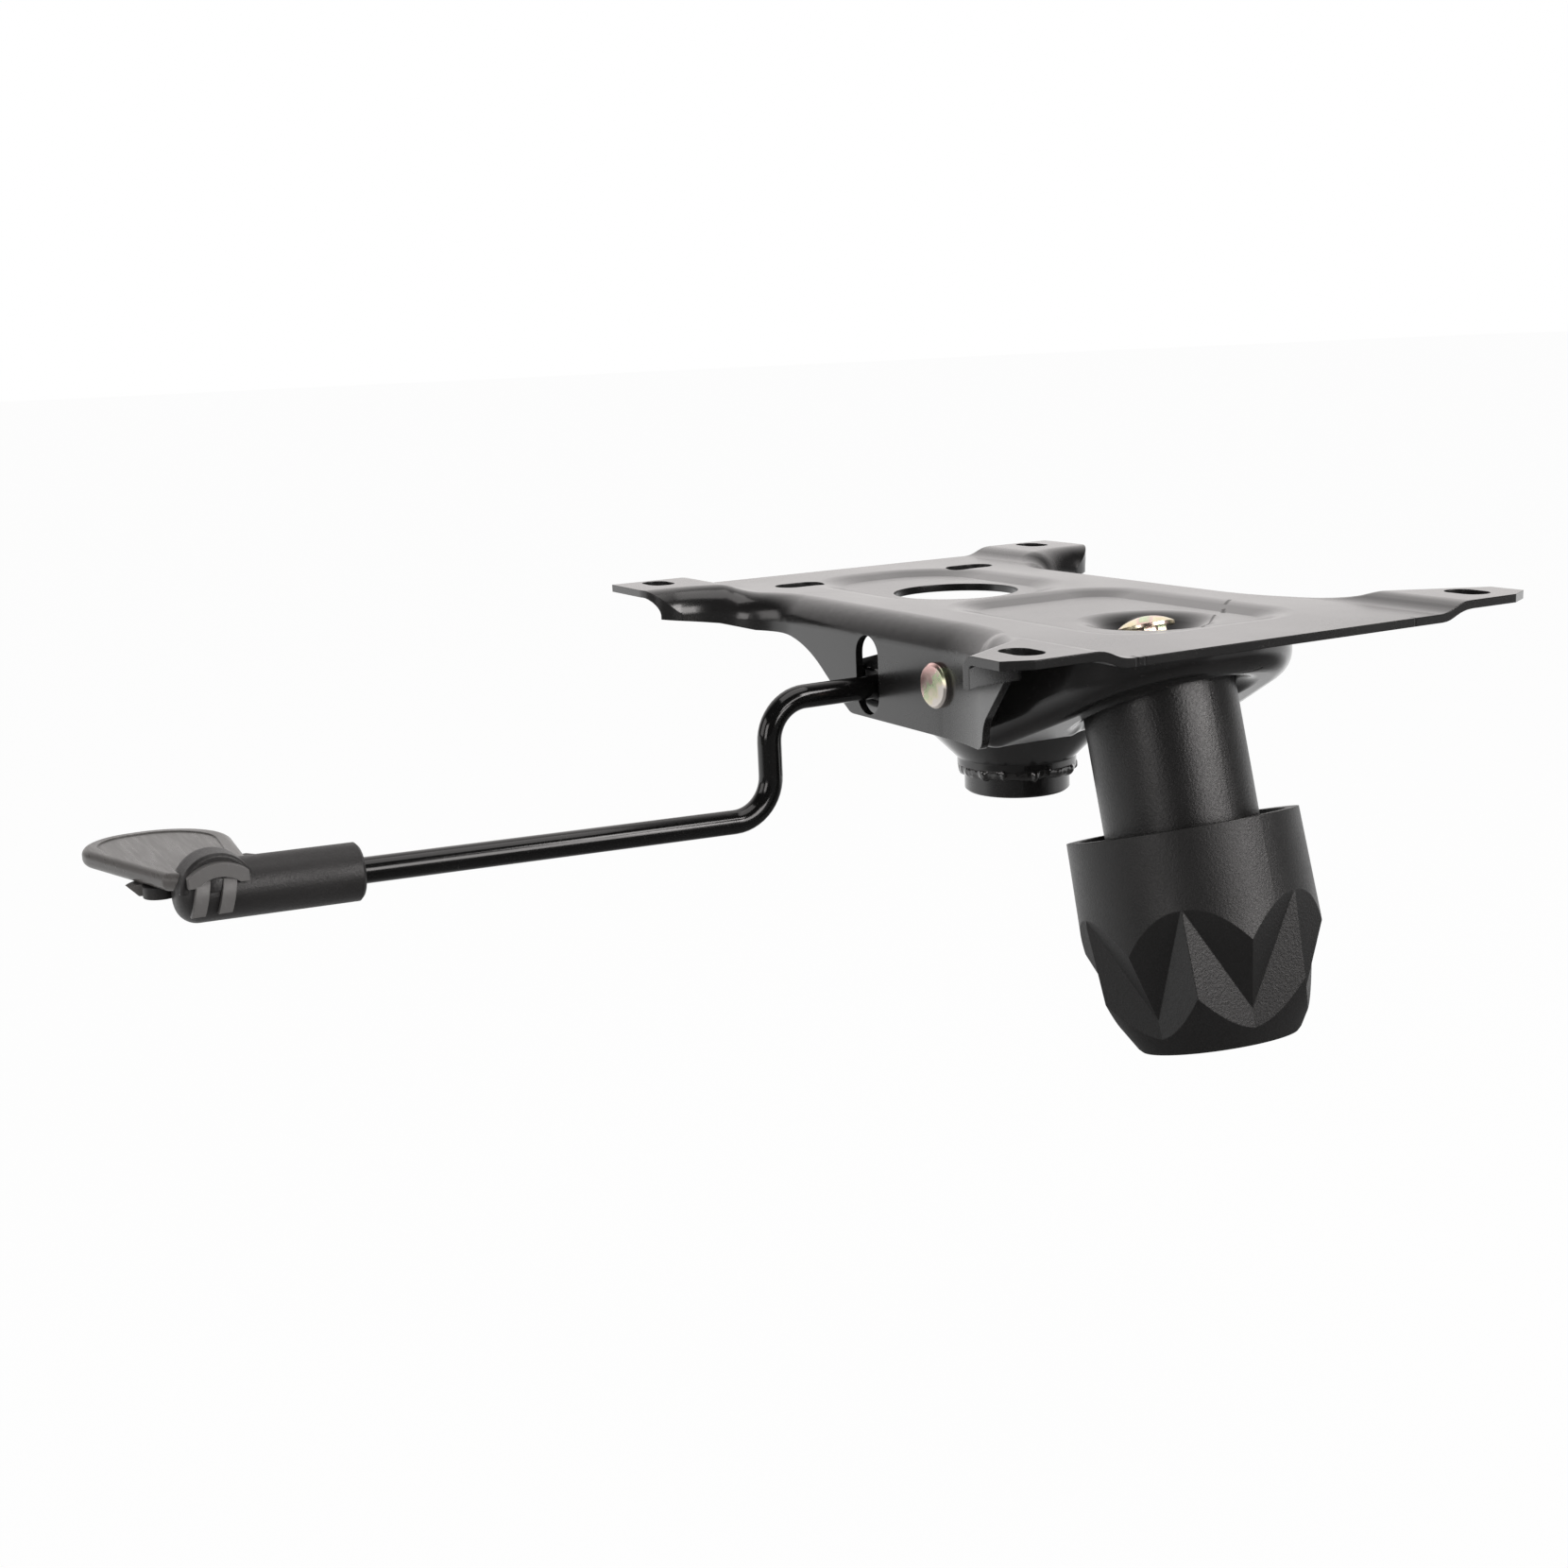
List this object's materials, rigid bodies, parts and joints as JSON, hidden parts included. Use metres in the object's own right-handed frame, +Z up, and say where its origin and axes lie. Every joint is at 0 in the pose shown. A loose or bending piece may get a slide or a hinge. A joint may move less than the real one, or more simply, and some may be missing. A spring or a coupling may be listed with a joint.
{
  "type": "office chair tilt mechanism",
  "caption": "Stamped seat plate with slotted ears, rocking on a housing with a gas column socket, a sleeved spring with a faceted tension knob and a bent lever with a paddle.",
  "frame": {"origin": "centre of the socket's mouth, where the gas column goes in", "axes": "+Z up along the socket, +X towards the tension knob, -Y towards the lever"},
  "size_m": [0.2213, 0.3578, 0.1236],
  "materials": {
    "black_paint": "satin black paint",
    "yellow_zinc": "yellow zinc plating",
    "bare_steel": "oiled bare steel",
    "black_plastic": "fine grained black plastic",
    "black_nylon": "smooth black nylon",
    "light_grey_plastic": "satin grey plastic",
    "dark_grey_plastic": "satin dark grey plastic"
  },
  "bodies": {
    "housing": {"tilt_housing": "black_paint", "cylinder_socket": "black_paint", "socket_weld": "black_paint", "pivot_bush_near": "black_nylon", "pivot_bush_far": "black_nylon", "pivot_spacer": "bare_steel", "spring_sleeve": "black_plastic", "compression_spring": "bare_steel"},
    "seat": {"seat_plate": "black_paint", "pivot_pin": "yellow_zinc"},
    "bolt": {"tension_bolt": "yellow_zinc"},
    "cap": {"spring_cap": "black_nylon", "thrust_washer": "bare_steel"},
    "knob": {"tension_knob": "black_plastic", "knob_nut": "yellow_zinc"},
    "rocker": {"lever_bush": "black_nylon"},
    "lever": {"lever_rod": "black_paint", "lever_stop_ring": "bare_steel", "handle_grip": "black_plastic", "handle_clip": "light_grey_plastic", "handle_paddle": "dark_grey_plastic", "handle_post": "black_plastic"}
  },
  "joints": [
    {"name": "seat_tilt", "type": "hinge", "parent": "housing", "child": "seat", "pos_m": [0.037, 0, 0.043], "axis": [0, -1, 0], "range_deg": [0, 12], "stiffness_Nm_per_rad": 17, "springref_deg": -24.64},
    {"name": "bolt_rise", "type": "slide", "parent": "housing", "child": "bolt", "axis": [-0.2706, 0, 0.9627], "range_m": [0, 0.0042], "deforming": ["compression_spring"]},
    {"name": "cap_rise", "type": "slide", "parent": "bolt", "child": "cap", "axis": [-0.2706, 0, 0.9627], "range_m": [0, 0.0101], "deforming": ["compression_spring"]},
    {"name": "knob_turn", "type": "hinge", "parent": "cap", "child": "knob", "pos_m": [0.0613, 0, 0.0581], "axis": [-0.2706, 0, 0.9627], "range_deg": [0, 2880]},
    {"name": "lever_lift", "type": "hinge", "parent": "housing", "child": "rocker", "pos_m": [0, -0.0466, 0.0376], "axis": [-1, 0, 0], "range_deg": [0, 5]},
    {"name": "lever_pull", "type": "slide", "parent": "rocker", "child": "lever", "axis": [0, -1, 0], "range_m": [0, 0.008]}
  ],
  "couplings": [
    {"joint": "bolt_rise", "follows": "seat_tilt", "m_per_rad": 0.0185},
    {"joint": "cap_rise", "follows": "knob_turn", "m_per_rad": 0.000199}
  ]
}
